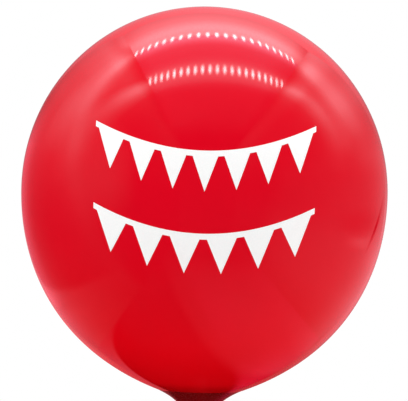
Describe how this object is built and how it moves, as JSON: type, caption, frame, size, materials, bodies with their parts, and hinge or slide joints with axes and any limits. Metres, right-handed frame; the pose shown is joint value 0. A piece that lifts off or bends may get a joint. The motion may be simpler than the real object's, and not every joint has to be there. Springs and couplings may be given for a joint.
{
  "type": "printed latex balloon",
  "caption": "Round red latex balloon, blown up and tied, with a white bunting printed on its front and a knotted neck whose short flat tail swings below",
  "frame": {"origin": "in the throat just above the knot, on the balloon's axis, where the knot swings and where a hand, a ribbon or the air's lift holds the balloon", "axes": "+Z from the knot up through the crown, -Y out of the printed front, +X to the right as the front is looked at"},
  "size_m": [0.3, 0.3007, 0.3854],
  "materials": {
    "red_film": "stretched natural latex, glossy and faintly translucent",
    "dark_neck": "thick unstretched natural latex, satin",
    "white_ink": "flexible screen-print ink, satin"
  },
  "bodies": {
    "balloon": {"envelope": "red_film", "neck_collar": "dark_neck", "throat_gather": "dark_neck", "print_upper_swag": "white_ink", "print_lower_swag": "white_ink"},
    "knot": {"knot_core": "dark_neck", "knot_wrap": "dark_neck"},
    "tail": {"tail_sleeve": "dark_neck", "lip_bead": "dark_neck"}
  },
  "joints": [
    {"name": "throat_bend", "type": "hinge", "parent": "balloon", "child": "knot", "pos_m": [0, 0, 0], "axis": [0, 1, 0], "range_deg": [-40, 40], "stiffness_Nm_per_rad": 0.00002},
    {"name": "tail_flap", "type": "hinge", "parent": "knot", "child": "tail", "pos_m": [0, 0, -0.0105], "axis": [1, 0, 0], "range_deg": [-45, 45], "stiffness_Nm_per_rad": 0.00001}
  ]
}
